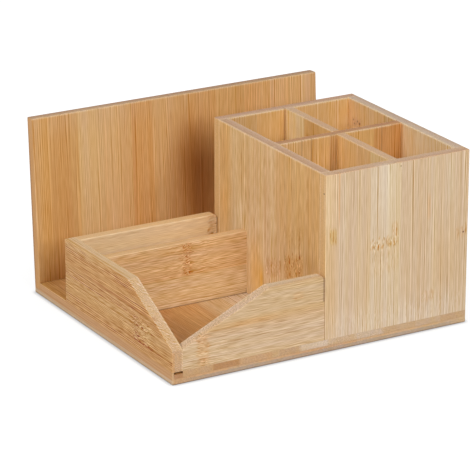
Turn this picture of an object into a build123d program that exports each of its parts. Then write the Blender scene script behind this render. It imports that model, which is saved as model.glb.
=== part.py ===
from build123d import *
import os
from math import cos, radians, sin, tan

# Desk organizer of glued bamboo boards, in millimetres.
# A base board carries a leaning back panel in a rebate, a tall pen box of four cells on the right
# and a low tray with a divider on the left. Between them and the panel runs a slot for letters.
# Origin: middle of the footprint, on the underside. +Z is up, +X to the right, and the front faces -Y.

# ---------------------------------------------------------------- driving dimensions

object_width = 206.5
object_height = 114.8

base_depth = 180.0
base_thickness = 8.0

panel_thickness = 7.0
panel_lean = 3.0  # degrees back from upright
rebate_depth = 4.0

wall_thickness = 7.0
divider_thickness = 6.0

pen_box_width = 102.0
pen_box_depth = 134.0
pen_box_height = 104.0  # above the base board
front_cell_depth = 58.5

tray_depth = 137.0
tray_height = 41.0  # above the base board
tray_well_depth = 86.3
tray_low_height = 13.4  # of both sloped walls at the low front corner, above the base board
side_slope_run = 54.8  # from the front edge back to the bend
front_slope_run = 59.2  # from the left wall to the bend
tray_corner_radius = 3.0  # of the right top corners of the tray's front and rear walls

halving_clearance = 0.1  # all round a divider in its slot
arris_radius = 0.6  # sanded outer edges

pocket_width = 6.0  # flaw in the base board's front edge, under the tray's left wall
pocket_height = 1.6
pocket_depth = 2.5

# ---------------------------------------------------------------- derived positions

lean = radians(panel_lean)
rebate_floor_z = base_thickness - rebate_depth
panel_run = object_height - panel_thickness * sin(lean) - rebate_floor_z
object_depth = base_depth + panel_run * tan(lean)

left_x = -object_width / 2
right_x = object_width / 2
front_y = -object_depth / 2
base_rear_y = front_y + base_depth

panel_foot_front_y = base_rear_y - panel_thickness / cos(lean)
panel_top_rear = (object_depth / 2, rebate_floor_z + panel_run)
panel_top_front = (object_depth / 2 - panel_thickness * cos(lean), object_height)
rebate_mouth_y = panel_foot_front_y + rebate_depth * tan(lean)

pen_box_left_x = right_x - pen_box_width
pen_box_rear_y = front_y + pen_box_depth
pen_box_top_z = base_thickness + pen_box_height
pen_box_inner_width = pen_box_width - 2 * wall_thickness
pen_box_inner_depth = pen_box_depth - 2 * wall_thickness
pen_box_inner_left_x = pen_box_left_x + wall_thickness
pen_box_inner_right_x = right_x - wall_thickness
pen_box_inner_front_y = front_y + wall_thickness
pen_box_inner_rear_y = pen_box_rear_y - wall_thickness
cell_width = (pen_box_inner_width - divider_thickness) / 2
rear_cell_depth = pen_box_inner_depth - divider_thickness - front_cell_depth
long_divider_x = pen_box_inner_left_x + cell_width
cross_divider_y = pen_box_inner_front_y + front_cell_depth
halving_depth = pen_box_height / 2

# Where each cell's stretch of a wall's inner top arris starts, and how long it is.
stretches_along_x = [
    (pen_box_inner_left_x, cell_width),
    (long_divider_x + divider_thickness, cell_width),
]
stretches_along_y = [
    (pen_box_inner_front_y, front_cell_depth),
    (cross_divider_y + divider_thickness, rear_cell_depth),
]

tray_top_z = base_thickness + tray_height
tray_low_z = base_thickness + tray_low_height
tray_rear_y = front_y + tray_depth
tray_inner_x = left_x + wall_thickness
tray_divider_y = front_y + wall_thickness + tray_well_depth

pick_margin = 0.01  # half the band in which a selector looks for an edge


# ---------------------------------------------------------------- helpers


def edges_at(builder, *places):
    """Returns the part's edges whose middles lie at every (axis, position) given."""
    found = builder.edges()
    for axis, position in places:
        found = found.filter_by_position(axis, position - pick_margin, position + pick_margin)
    return found


def facing_front(y):
    """Returns the upright plane at y that faces the front, on which x is X and y is Z."""
    return Plane.XZ.offset(-y)


def ease_stretch(plane, corner, wood_side, length):
    """Sands part of a top arris off the piece being built.

    The plane stands across the arris where the stretch begins, and corner is the arris on it.
    wood_side is 1 where the wood lies on the corner's positive side and -1 where it lies on the other.
    """
    with BuildSketch(plane) as waste:
        with Locations(corner):
            Rectangle(2 * arris_radius, 2 * arris_radius)
        with Locations((corner[0] + wood_side * arris_radius, corner[1] - arris_radius)):
            Circle(arris_radius, mode=Mode.SUBTRACT)
    extrude(waste.sketch, amount=length, mode=Mode.SUBTRACT)


# ---------------------------------------------------------------- base board
# Two glued layers of bamboo strips. The rebate along the rear top edge is cut at the panel's lean,
# so that the panel stands on its floor and rests against its front wall. The side arrises are eased
# only where they are free, beside the letter slot.

with BuildPart() as base_board:
    with BuildSketch(Plane.YZ.offset(left_x)):
        with BuildLine():
            Polyline(
                (front_y, 0),
                (base_rear_y, 0),
                (base_rear_y, rebate_floor_z),
                (panel_foot_front_y, rebate_floor_z),
                (rebate_mouth_y, base_thickness),
                (front_y, base_thickness),
                close=True,
            )
        make_face()
    extrude(amount=object_width)
    underside_edges = base_board.faces().sort_by(Axis.Z)[0].edges()
    front_corner_edges = edges_at(base_board, (Axis.Y, front_y)).filter_by(Axis.Z)
    rear_corner_edges = edges_at(base_board, (Axis.Y, base_rear_y)).filter_by(Axis.Z)
    fillet(underside_edges + front_corner_edges + rear_corner_edges, radius=arris_radius)
    letter_slot_rear = facing_front(rebate_mouth_y)
    ease_stretch(letter_slot_rear, (left_x, base_thickness), 1, rebate_mouth_y - tray_rear_y)
    ease_stretch(letter_slot_rear, (right_x, base_thickness), -1, rebate_mouth_y - pen_box_rear_y)
    with BuildSketch(facing_front(front_y)):
        with Locations((tray_inner_x, base_thickness)):
            Rectangle(pocket_width, pocket_height, align=(Align.MAX, Align.MAX))
    extrude(amount=-pocket_depth, mode=Mode.SUBTRACT)
base_board.part.label = "base_board"

# ---------------------------------------------------------------- back panel
# Its foot is bevelled, so that the leaning panel stands flat in the rebate.

with BuildPart() as back_panel:
    with BuildSketch(Plane.YZ.offset(left_x)):
        with BuildLine():
            Polyline(
                (panel_foot_front_y, rebate_floor_z),
                (base_rear_y, rebate_floor_z),
                panel_top_rear,
                panel_top_front,
                close=True,
            )
        make_face()
    extrude(amount=object_width)
    foot = back_panel.faces().sort_by(Axis.Z)[0]
    fillet(back_panel.edges() - foot.edges(), radius=arris_radius)
back_panel.part.label = "back_panel"

# ---------------------------------------------------------------- pen box walls
# The front and rear walls run the box's full width and cover the ends of the side walls. The inner
# top arrises were eased after the box was glued, so they stop at the dividers and in the corners.

with BuildPart() as pen_box_front_wall:
    with BuildSketch(Plane.XY.offset(base_thickness)):
        with Locations((pen_box_left_x, front_y)):
            Rectangle(pen_box_width, wall_thickness, align=Align.MIN)
    extrude(amount=pen_box_height)
    outer_face_edges = edges_at(pen_box_front_wall, (Axis.Y, front_y))
    end_top_edges = edges_at(pen_box_front_wall, (Axis.Z, pen_box_top_z)).filter_by(Axis.Y)
    fillet(outer_face_edges.sort_by(Axis.Z)[1:] + end_top_edges, radius=arris_radius)
    for start_x, length in stretches_along_x:
        ease_stretch(Plane.YZ.offset(start_x), (pen_box_inner_front_y, pen_box_top_z), -1, length)
pen_box_front_wall.part.label = "pen_box_front_wall"

with BuildPart() as pen_box_rear_wall:
    with BuildSketch(Plane.XY.offset(base_thickness)):
        with Locations((pen_box_left_x, pen_box_inner_rear_y)):
            Rectangle(pen_box_width, wall_thickness, align=Align.MIN)
    extrude(amount=pen_box_height)
    outer_face_edges = edges_at(pen_box_rear_wall, (Axis.Y, pen_box_rear_y))
    end_top_edges = edges_at(pen_box_rear_wall, (Axis.Z, pen_box_top_z)).filter_by(Axis.Y)
    fillet(outer_face_edges.sort_by(Axis.Z)[1:] + end_top_edges, radius=arris_radius)
    for start_x, length in stretches_along_x:
        ease_stretch(Plane.YZ.offset(start_x), (pen_box_inner_rear_y, pen_box_top_z), 1, length)
pen_box_rear_wall.part.label = "pen_box_rear_wall"

with BuildPart() as pen_box_left_wall:
    with BuildSketch(Plane.XY.offset(base_thickness)):
        with Locations((pen_box_left_x, pen_box_inner_front_y)):
            Rectangle(wall_thickness, pen_box_inner_depth, align=Align.MIN)
    extrude(amount=pen_box_height)
    fillet(
        edges_at(pen_box_left_wall, (Axis.Z, pen_box_top_z), (Axis.X, pen_box_left_x)),
        radius=arris_radius,
    )
    for start_y, length in stretches_along_y:
        ease_stretch(facing_front(start_y + length), (pen_box_inner_left_x, pen_box_top_z), -1, length)
pen_box_left_wall.part.label = "pen_box_left_wall"

with BuildPart() as pen_box_right_wall:
    with BuildSketch(Plane.XY.offset(base_thickness)):
        with Locations((pen_box_inner_right_x, pen_box_inner_front_y)):
            Rectangle(wall_thickness, pen_box_inner_depth, align=Align.MIN)
    extrude(amount=pen_box_height)
    fillet(
        edges_at(pen_box_right_wall, (Axis.Z, pen_box_top_z), (Axis.X, right_x)),
        radius=arris_radius,
    )
    for start_y, length in stretches_along_y:
        ease_stretch(facing_front(start_y + length), (pen_box_inner_right_x, pen_box_top_z), 1, length)
pen_box_right_wall.part.label = "pen_box_right_wall"

# ---------------------------------------------------------------- pen box dividers
# The dividers cross in a halving joint. The cross divider is slotted from below and the long one
# from the top, so the cross divider's top edge runs on unbroken.

slot_width = divider_thickness + 2 * halving_clearance
slot_depth = halving_depth + halving_clearance

with BuildPart() as pen_box_cross_divider:
    with BuildSketch(Plane.XY.offset(base_thickness)):
        with Locations((pen_box_inner_left_x, cross_divider_y)):
            Rectangle(pen_box_inner_width, divider_thickness, align=Align.MIN)
    extrude(amount=pen_box_height)
    top_edges = edges_at(pen_box_cross_divider, (Axis.Z, pen_box_top_z)).filter_by(Axis.X)
    fillet(top_edges, radius=arris_radius)
    with BuildSketch(Plane.XY.offset(base_thickness)):
        with Locations((long_divider_x - halving_clearance, cross_divider_y)):
            Rectangle(slot_width, divider_thickness, align=Align.MIN)
    extrude(amount=slot_depth, mode=Mode.SUBTRACT)
pen_box_cross_divider.part.label = "pen_box_cross_divider"

with BuildPart() as pen_box_long_divider:
    with BuildSketch(Plane.XY.offset(base_thickness)):
        with Locations((long_divider_x, pen_box_inner_front_y)):
            Rectangle(divider_thickness, pen_box_inner_depth, align=Align.MIN)
    extrude(amount=pen_box_height)
    top_edges = edges_at(pen_box_long_divider, (Axis.Z, pen_box_top_z)).filter_by(Axis.Y)
    fillet(top_edges, radius=arris_radius)
    with BuildSketch(Plane.XY.offset(pen_box_top_z)):
        with Locations((long_divider_x, cross_divider_y - halving_clearance)):
            Rectangle(divider_thickness, slot_width, align=Align.MIN)
    extrude(amount=-slot_depth, mode=Mode.SUBTRACT)
pen_box_long_divider.part.label = "pen_box_long_divider"

# ---------------------------------------------------------------- tray walls
# The left wall runs the tray's full depth, and the other boards butt between it and the pen box.
# The left and front walls slope down to the same height at the low front corner.

with BuildPart() as tray_left_wall:
    with BuildSketch(Plane.YZ.offset(left_x)):
        with BuildLine():
            Polyline(
                (front_y, base_thickness),
                (tray_rear_y, base_thickness),
                (tray_rear_y, tray_top_z),
                (front_y + side_slope_run, tray_top_z),
                (front_y, tray_low_z),
                close=True,
            )
        make_face()
    extrude(amount=wall_thickness)
    outer_face_edges = edges_at(tray_left_wall, (Axis.X, left_x))
    end_top_edges = (
        edges_at(tray_left_wall, (Axis.Y, front_y), (Axis.Z, tray_low_z))
        + edges_at(tray_left_wall, (Axis.Y, tray_rear_y), (Axis.Z, tray_top_z))
    )
    fillet(outer_face_edges.sort_by(Axis.Z)[1:] + end_top_edges, radius=arris_radius)
tray_left_wall.part.label = "tray_left_wall"

with BuildPart() as tray_front_wall:
    with BuildSketch(facing_front(front_y + wall_thickness)):
        with BuildLine():
            Polyline(
                (tray_inner_x, base_thickness),
                (pen_box_left_x, base_thickness),
                (pen_box_left_x, tray_top_z),
                (tray_inner_x + front_slope_run, tray_top_z),
                (tray_inner_x, tray_low_z),
                close=True,
            )
        outline = make_face()
        right_top_corner = outline.vertices().sort_by(Axis.X)[-2:].sort_by(Axis.Y)[-1]
        fillet(right_top_corner, tray_corner_radius)
    extrude(amount=wall_thickness)
    outer_face_edges = edges_at(tray_front_wall, (Axis.Y, front_y))
    joined_edges = outer_face_edges.sort_by(Axis.Z)[:1] + outer_face_edges.sort_by(Axis.X)[:1]
    inner_end_edges = edges_at(tray_front_wall, (Axis.Y, front_y + wall_thickness), (Axis.X, pen_box_left_x))
    fillet(outer_face_edges - joined_edges + inner_end_edges, radius=arris_radius)
tray_front_wall.part.label = "tray_front_wall"

with BuildPart() as tray_rear_wall:
    with BuildSketch(facing_front(tray_rear_y)):
        with Locations((tray_inner_x, base_thickness)):
            outline = Rectangle(pen_box_left_x - tray_inner_x, tray_height, align=Align.MIN)
        right_top_corner = outline.vertices().sort_by(Axis.X)[-2:].sort_by(Axis.Y)[-1]
        fillet(right_top_corner, tray_corner_radius)
    extrude(amount=wall_thickness)
    front_edges = edges_at(tray_rear_wall, (Axis.Y, tray_rear_y - wall_thickness))
    rear_edges = edges_at(tray_rear_wall, (Axis.Y, tray_rear_y))
    face_edges = front_edges + rear_edges
    joined_edges = face_edges.sort_by(Axis.Z)[:2] + face_edges.sort_by(Axis.X)[:2]
    fillet(face_edges - joined_edges, radius=arris_radius)
tray_rear_wall.part.label = "tray_rear_wall"

with BuildPart() as tray_divider:
    with BuildSketch(facing_front(tray_divider_y + divider_thickness)):
        with Locations((tray_inner_x, base_thickness)):
            Rectangle(pen_box_left_x - tray_inner_x, tray_height, align=Align.MIN)
    extrude(amount=divider_thickness)
    top_edges = edges_at(tray_divider, (Axis.Z, tray_top_z)).filter_by(Axis.X)
    fillet(top_edges, radius=arris_radius)
tray_divider.part.label = "tray_divider"

# ---------------------------------------------------------------- export

boards = [
    base_board,
    back_panel,
    pen_box_front_wall,
    pen_box_rear_wall,
    pen_box_left_wall,
    pen_box_right_wall,
    pen_box_cross_divider,
    pen_box_long_divider,
    tray_left_wall,
    tray_front_wall,
    tray_rear_wall,
    tray_divider,
]
os.makedirs("parts", exist_ok=True)
for board in boards:
    export_step(board.part, f"parts/{board.part.label}.step")
    print(f"{board.part.label}: {board.part.volume / 1000:.1f} cm3")
print(f"overall: {object_width:.1f} x {object_depth:.2f} x {object_height:.1f} mm")
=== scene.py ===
# %% [markdown]
# # A bamboo desk organizer, finished board by board
# The object is twelve bamboo boards glued together: a base, a leaning back panel that leaves a
# slot for letters, a tall pen box with two dividers that cross in it, and a low tray whose front
# and left walls slope down to the corner. The boards come from the CAD model, and their shapes
# are right as they are. This lesson sets up a camera, a floor and two lamps, and then gives each
# board its own bamboo.

# %% Load the boards
import math
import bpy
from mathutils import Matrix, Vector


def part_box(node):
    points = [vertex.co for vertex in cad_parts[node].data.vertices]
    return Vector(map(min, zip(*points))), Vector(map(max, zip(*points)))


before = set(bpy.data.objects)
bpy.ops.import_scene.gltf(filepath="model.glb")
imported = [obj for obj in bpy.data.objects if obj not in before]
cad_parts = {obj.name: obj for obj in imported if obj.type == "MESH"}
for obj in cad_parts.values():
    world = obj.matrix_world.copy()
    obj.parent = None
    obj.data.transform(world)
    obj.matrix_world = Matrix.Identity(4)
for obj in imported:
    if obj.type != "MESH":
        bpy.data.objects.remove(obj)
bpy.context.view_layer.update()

from types import SimpleNamespace

import bpy
from mathutils import Vector

MM = 1000.0

scene = bpy.context.scene
print("boards:", ", ".join(sorted(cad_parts)))

# %% [markdown]
# ## Two helpers
# Colours are written as the hex values that a paint program shows. Blender's shaders work in
# linear light, so one function converts them. Shader trees could be drawn by hand in the shader
# editor, but a tree that is built in code can be built again for every board. One function adds
# any node, with its settings, its values and its links. It gives back the node's output, so that
# the next node can be joined to it in the same line.

# %% Colours and nodes
def linear(colour):
    """Turn an sRGB hex colour into the linear RGBA that the shaders want."""
    channels = [int(colour[start:start + 2], 16) / 255 for start in (1, 3, 5)]
    curve = [c / 12.92 if c <= 0.04045 else ((c + 0.055) / 1.055) ** 2.4 for c in channels]
    return (*curve, 1.0)


def add(tree, kind, inputs=None, output=0, **settings):
    """Add one node. An input is a value or another node's output.

    Gives back one of the node's outputs, or the node itself if output is None.
    """
    node = tree.nodes.new("ShaderNode" + kind)
    for name, value in settings.items():
        setattr(node, name, value)
    for socket, value in (inputs or {}).items():
        if isinstance(value, bpy.types.NodeSocket):
            tree.links.new(value, node.inputs[socket])
        else:
            node.inputs[socket].default_value = value
    return node if output is None else node.outputs[output]


print("a mid grey of #808080 is", round(linear("#808080")[0], 3), "in linear light")

# %% [markdown]
# ## The camera
# The organizer is seen from its front left and a little above, from far off with a long lens, so
# its edges stay nearly parallel. A camera could be pointed with a constraint and a target. Here
# it is turned by an azimuth and an elevation, which are easy to picture and to change, and the
# lamps are hung with the same two functions.

# %% Place the camera
CAMERA_PLACE = (-0.89716, -1.53933, 0.68176)
CAMERA_AZIMUTH = math.radians(-30.031)
CAMERA_ELEVATION = math.radians(19.621)
CAMERA_REACH = 20.0
SENSOR = 36.0
LENS = 233.19


def direction(azimuth, elevation):
    """A unit vector from the object: azimuth 0 is its front, and positive is to its right."""
    level = math.cos(elevation)
    return Vector((math.sin(azimuth) * level, -math.cos(azimuth) * level, math.sin(elevation)))


def aim(thing, backwards):
    """Turn a camera or a lamp so that it looks against a direction."""
    thing.rotation_mode = "QUATERNION"
    thing.rotation_quaternion = (-backwards).to_track_quat("-Z", "Y")


camera_data = bpy.data.cameras.new("camera")
camera_data.sensor_width = SENSOR
camera_data.lens = LENS
camera_data.clip_end = CAMERA_REACH
camera = bpy.data.objects.new("camera", camera_data)
camera.location = CAMERA_PLACE
aim(camera, direction(CAMERA_AZIMUTH, CAMERA_ELEVATION))
scene.collection.objects.link(camera)
scene.camera = camera
scene.view_settings.view_transform = "Standard"
print("camera", round(Vector(CAMERA_PLACE).length, 2), "m from the organizer")

# %% [markdown]
# ## The floor
# A plain white floor carries the organizer. It could be lit until it is white, but light that
# strong would bleach the bamboo. So to the camera it glows by itself, nearly as white as the
# backdrop, and keeps a share of ordinary diffuse shading, which carries the soft shadow. Just at
# the foot of the base, where hardly any light gets in, an Ambient Occlusion node that reaches
# only a few millimetres draws the thin dark contact line. Farther out the glow rises to full
# white, so that the floor runs into the backdrop unseen.

# %% Lay the floor
FLOOR_SIZE = 6.0
FLOOR_WHITE = "#EDEDED"
FLOOR_GLOW = 0.89
SHADOW_GREY = "#707070"
CONTACT_REACH = 0.0035
FADE_FROM = 0.13
FADE_TO = 0.22


def seen_rays(tree):
    """One for the rays that see the background: from the camera, a gloss or a clear thing."""
    rays = add(tree, "LightPath", output=None).outputs
    both = add(tree, "Math", {0: rays["Is Camera Ray"], 1: rays["Is Glossy Ray"]})
    return add(tree, "Math", {0: both, 1: rays["Is Transmission Ray"]}, use_clamp=True)


def new_tree(owner):
    """An empty shader tree for a material or a world."""
    owner.use_nodes = True
    owner.node_tree.nodes.clear()
    return owner.node_tree


floor_paint = bpy.data.materials.new("white studio floor")
tree = new_tree(floor_paint)
matt = add(tree, "BsdfDiffuse", {"Color": linear(FLOOR_WHITE)})
contact = add(tree, "AmbientOcclusion", {"Distance": CONTACT_REACH}, samples=16)
spot = add(tree, "TexCoord", output="Object")
away = add(tree, "VectorMath", {0: spot}, output="Value", operation="LENGTH")
whiter = add(tree, "MapRange", {"Value": away, "From Min": FADE_FROM, "From Max": FADE_TO,
                                "To Min": FLOOR_GLOW, "To Max": 1.0})
glow = add(tree, "Emission", {"Color": contact, "Strength": whiter})
shadow = add(tree, "BsdfDiffuse", {"Color": linear(SHADOW_GREY)})
shown = add(tree, "AddShader", {0: glow, 1: shadow})
surface = add(tree, "MixShader", {0: seen_rays(tree), 1: matt, 2: shown})
add(tree, "OutputMaterial", {"Surface": surface}, output=None)

bpy.ops.mesh.primitive_plane_add(size=FLOOR_SIZE, location=(0, 0, 0))
floor = bpy.context.object
floor.name = "floor"
floor.data.materials.append(floor_paint)
print("floor", FLOOR_SIZE, "m across")

# %% [markdown]
# ## The light
# Two large softboxes make the light: one in front and above, which fills the front faces and
# throws the pen box's soft shadow on the back panel, and one at the left, which lights the left
# faces and only grazes the panel. Small lamps would throw hard shadows. These are about half as
# wide as they are far off, so their shadows have wide edges. A dim white room fills in the rest,
# and to the camera it is plain white.

# %% Hang the softboxes
ROOM_STRENGTH = 0.15
BACKDROP_STRENGTH = 1.0
WHITE = linear("#FFFFFF")
LIGHT_TARGET = Vector((0, 0, 0.05))
LIGHT_DISTANCE = 1.6


def softbox(name, azimuth, elevation, width, height, watts):
    """A rectangular lamp that looks at the organizer."""
    lamp = bpy.data.lights.new(name, "AREA")
    lamp.shape = "RECTANGLE"
    lamp.size = width
    lamp.size_y = height
    lamp.energy = watts
    towards = direction(math.radians(azimuth), math.radians(elevation))
    holder = bpy.data.objects.new(name, lamp)
    holder.location = LIGHT_TARGET + towards * LIGHT_DISTANCE
    aim(holder, towards)
    scene.collection.objects.link(holder)
    print(name, "at azimuth", azimuth, "elevation", elevation, "with", watts, "W")


softbox("front softbox", azimuth=0, elevation=33, width=0.7, height=0.9, watts=15.0)
softbox("left softbox", azimuth=-85, elevation=38, width=1.0, height=0.7, watts=14.0)

room = bpy.data.worlds.new("white room")
scene.world = room
tree = new_tree(room)
fill = add(tree, "Background", {"Color": WHITE, "Strength": ROOM_STRENGTH})
backdrop = add(tree, "Background", {"Color": WHITE, "Strength": BACKDROP_STRENGTH})
surface = add(tree, "MixShader", {0: seen_rays(tree), 1: fill, 2: backdrop})
add(tree, "OutputWorld", {"Surface": surface}, output=None)

# %% [markdown]
# ## What bamboo is
# Bamboo boards are not sawn from a trunk. The cane is split into strips about 20 mm wide, which
# are planed, dried and glued side by side. Each strip has its own shade, from cream to caramel,
# so a board is striped. Inside a strip, brown fibre bundles run dead straight through pale pith.
# Where the cane had a joint, a knuckle, the bundles swerve and fray into short brown dashes.
# On a cut end the bundles show as dots, and the wood looks greyer and pinker.
#
# A flat pattern could be laid on each face, but it wouldn't meet its neighbours at the arrises.
# So all of it is one solid pattern, worked out from a point's place in the board: the face, the
# edge, a sloping cut and the end grain then fit together as they do in a real board.

# %% The shades of bamboo
SHADES = {
    "cream": "#EFD4AA",
    "ivory": "#D6BE9F",
    "oat": "#D2B592",
    "straw": "#D8B686",
    "wheat": "#DEB886",
    "honey": "#DAAF77",
    "gold": "#E4B576",
    "linen": "#D5B48B",
    "chaff": "#DDBC8E",
    "vanilla": "#EFD0A0",
    "corn": "#EBBE84",
    "marigold": "#D99E52",
    "mustard": "#C9A050",
    "peach": "#D8A67C",
    "tan": "#C49B6E",
    "sand": "#D2AB82",
    "biscuit": "#CDAA7C",
    "amber": "#D39C60",
    "caramel": "#CE9758",
    "ochre": "#C48F50",
    "driftwood": "#BFA080",
    "clay": "#C99F7C",
    "bark": "#B08050",
    "mushroom": "#C9AE98",
    "toffee": "#CA8D4D",
    "rust": "#B06F30",
    "umber": "#6E4322",
}


def shade_of(name):
    """A shade by its name, or by its own hex."""
    return linear(SHADES.get(name, name))


print(len(SHADES), "shades, from", SHADES["cream"], "to", SHADES["umber"])

# %% [markdown]
# ## Noise with a size
# Most patterns below are noise, stretched along the grain. This function takes the size of the
# noise's cells in millimetres, so that each pattern can be given the size it has on a real board.
# Its average is zero, so it makes a board neither darker nor paler as a whole. The fibres are
# drawn in the same way in every board. They could be drawn anew each time, but one node group
# that all the boards share is easier to read and to change, and a second function starts it.

# %% Noise about zero, and a new node group
def noise_about_zero(tree, place, size, pull, detail=0.0):
    """Noise with cells of a size in mm: across, through and along. It swings by half its pull."""
    scaled = add(tree, "VectorMath", {0: place, 1: size}, operation="DIVIDE")
    noise = add(tree, "TexNoise", {"Vector": scaled, "Scale": 1.0, "Detail": detail})
    noise = add(tree, "Math", {0: noise, 1: 0.5}, operation="SUBTRACT")
    return add(tree, "Math", {0: noise, 1: pull}, operation="MULTIPLY")


def new_group(name, inputs, outputs):
    """A node group with named sockets: pairs of a name and a kind."""
    group = bpy.data.node_groups.new(name, "ShaderNodeTree")
    for way, sockets in (("INPUT", inputs), ("OUTPUT", outputs)):
        for socket, kind in sockets:
            group.interface.new_socket(socket, in_out=way, socket_type="NodeSocket" + kind)
    taken = group.nodes.new("NodeGroupInput").outputs
    given = group.nodes.new("NodeGroupOutput").inputs
    return group, taken, given


fibres, taken, given = new_group(
    "bamboo fibres",
    [("Place", "Vector"), ("Seed", "Float"), ("Tone", "Color"), ("Contrast", "Float"),
     ("Flecks", "Float"), ("Fray", "Float"), ("Warmth", "Float")],
    [("Tone", "Color"), ("Height", "Float")])
print("fibre group takes:", ", ".join(socket.name for socket in taken if socket.name))

# %% [markdown]
# ## The fibre bundles
# The fibre group is the heart of every board. It takes a place in millimetres, told as across
# the strips, through the board and along the grain. The seed of a strip shifts it to another
# part of the pattern, so that no strip carries on its neighbour's fibres.
#
# The bundles lie side by side at nearly even distances. Blender's Wave texture could draw them,
# but all its bands are equally strong. Here a sine wave runs across the grain, its phase wanders
# slowly, and its strength fades in and out. A second, weaker wave keeps it from looking ruled.
# Real bundles are about 0.7 mm apart; the first wave is 1.3 mm, as coarse as it needs to be to
# show. The wave slants through the board, so that it shows on the edges too. A bundle is
# narrower than the pith beside it, so the wave is bent: its troughs are narrower and deeper than
# its crests. Here and there one bundle is darker than the rest.

# %% Draw the bundles
SEED_STEP = (173.0, 59.0, 641.0)
BUNDLES = (
    # distance between bundles in mm, pull
    (1.3, 0.14),
    (2.1, 0.035),
)
BUNDLE_WANDER = ((3.0, 3.0, 120.0), 2.3)  # size of the noise in mm, pull
BUNDLE_FADE = ((1.8, 1.8, 40.0), 5.0)  # the same
BUNDLE_SLANT = 0.8
WAVE_BEND = -0.3
WAVE_LIFT = 0.15  # a squared sine averages a half, so this brings the average back to zero
DARK_BUNDLE_SIZE = (1.3, 1.3, 160.0)
DARK_BUNDLE_FROM = 0.15
DARK_BUNDLE_TO = 0.30
DARK_BUNDLE_PULL = -0.06


def wave_across(slanted, wander, distance):
    """A sine wave across the grain, whose phase wanders."""
    turns = add(fibres, "Math", {0: slanted, 1: 1 / distance, 2: wander},
                operation="MULTIPLY_ADD")
    turns = add(fibres, "Math", {0: turns, 1: math.tau}, operation="MULTIPLY")
    return add(fibres, "Math", {0: turns}, operation="SINE")


apart = add(fibres, "VectorMath", {0: SEED_STEP, "Scale": taken["Seed"]}, operation="SCALE")
place = add(fibres, "VectorMath", {0: taken["Place"], 1: apart}, operation="ADD")
sides = add(fibres, "SeparateXYZ", {0: place}, output=None).outputs
slanted = add(fibres, "Math", {0: sides["Y"], 1: BUNDLE_SLANT, 2: sides["X"]},
              operation="MULTIPLY_ADD")
wander = noise_about_zero(fibres, place, *BUNDLE_WANDER)
fade = add(fibres, "Math", {0: noise_about_zero(fibres, place, *BUNDLE_FADE), 1: 1.0})
height = 0.0
for distance, pull in BUNDLES:
    wave = wave_across(slanted, wander, distance)
    squared = add(fibres, "Math", {0: wave, 1: wave}, operation="MULTIPLY")
    wave = add(fibres, "Math", {0: squared, 1: WAVE_BEND, 2: wave}, operation="MULTIPLY_ADD")
    wave = add(fibres, "Math", {0: wave, 1: WAVE_LIFT})
    height = add(fibres, "Math", {0: wave, 1: pull, 2: height}, operation="MULTIPLY_ADD")
height = add(fibres, "Math", {0: height, 1: fade}, operation="MULTIPLY")

darker = noise_about_zero(fibres, place, DARK_BUNDLE_SIZE, 1.0)
darker = add(fibres, "MapRange", {"Value": darker, "From Min": DARK_BUNDLE_FROM,
                                  "From Max": DARK_BUNDLE_TO, "To Max": DARK_BUNDLE_PULL},
             interpolation_type="SMOOTHSTEP")
bundle = add(fibres, "Math", {0: height, 1: darker})
bundle = add(fibres, "Math", {0: bundle, 1: taken["Contrast"]}, operation="MULTIPLY")
print("bundles", BUNDLES[0][0], "mm apart")

# %% [markdown]
# ## Flecks, dashes and broad changes
# Short flecks, a few millimetres long, lie between the bundles. In a knuckle there are more of
# them, and the bundles break up into rows of dashes, with pale pith between the rows. The fray
# of a point says how far it lies in a knuckle: 0 outside, about 1 in the thick of it. The dashes
# could be flecks that are only stronger, but then they wouldn't line up as real ones do, so they
# are cut from a wave like the bundles. Broad noise that is stretched far along the grain changes
# the shade across a strip. A last one, taken from another part of the noise, changes its hue.

# %% Draw the flecks, the dashes and the broad changes
FLECK_SIZE = (0.45, 0.45, 8.0)
FRAYED_FLECKS = 0.4
DASH_APART = 2.0
DASH_PALE = 0.2
DASH_BROWN = -0.36
ROW_CREST = 0.9
DASH_SIZE = (1.3, 1.3, 3.2)
DASH_CUT_FROM = -0.10
DASH_CUT_TO = 0.06
BROAD = (
    # size of the noise in mm, pull
    ((2.0, 2.0, 250.0), 0.07),
    ((4.5, 4.5, 400.0), 0.09),
    ((10.0, 10.0, 600.0), 0.15),
)
TINT = ((4.0, 4.0, 150.0), 0.26)  # size of the noise in mm, pull
TINT_SHIFT = (50.0, 50.0, 50.0)

fleck = noise_about_zero(fibres, place, FLECK_SIZE, 1.0)
fleck_share = add(fibres, "Math", {0: taken["Fray"], 1: FRAYED_FLECKS, 2: taken["Flecks"]},
                  operation="MULTIPLY_ADD")
bundle = add(fibres, "Math", {0: fleck, 1: fleck_share, 2: bundle}, operation="MULTIPLY_ADD")

row = wave_across(slanted, wander, DASH_APART)
row = add(fibres, "MapRange", {"Value": row, "From Min": -ROW_CREST, "From Max": ROW_CREST,
                               "To Min": DASH_PALE, "To Max": DASH_BROWN})
cut = noise_about_zero(fibres, place, DASH_SIZE, 1.0)
cut = add(fibres, "MapRange", {"Value": cut, "From Min": DASH_CUT_FROM,
                               "From Max": DASH_CUT_TO}, interpolation_type="SMOOTHSTEP")
dash = add(fibres, "Math", {0: row, 1: cut}, operation="MULTIPLY")
dash = add(fibres, "Math", {0: dash, 1: taken["Fray"]}, operation="MULTIPLY")

broad = 0.0
for size, pull in BROAD:
    broad = add(fibres, "Math", {0: noise_about_zero(fibres, place, size, pull), 1: broad})
broad = add(fibres, "Math", {0: broad, 1: taken["Contrast"]}, operation="MULTIPLY")

elsewhere = add(fibres, "VectorMath", {0: place, 1: TINT_SHIFT}, operation="ADD")
tint = noise_about_zero(fibres, elsewhere, *TINT)
print("flecks", FLECK_SIZE[2], "mm long, dashes", DASH_SIZE[2], "mm")

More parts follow.
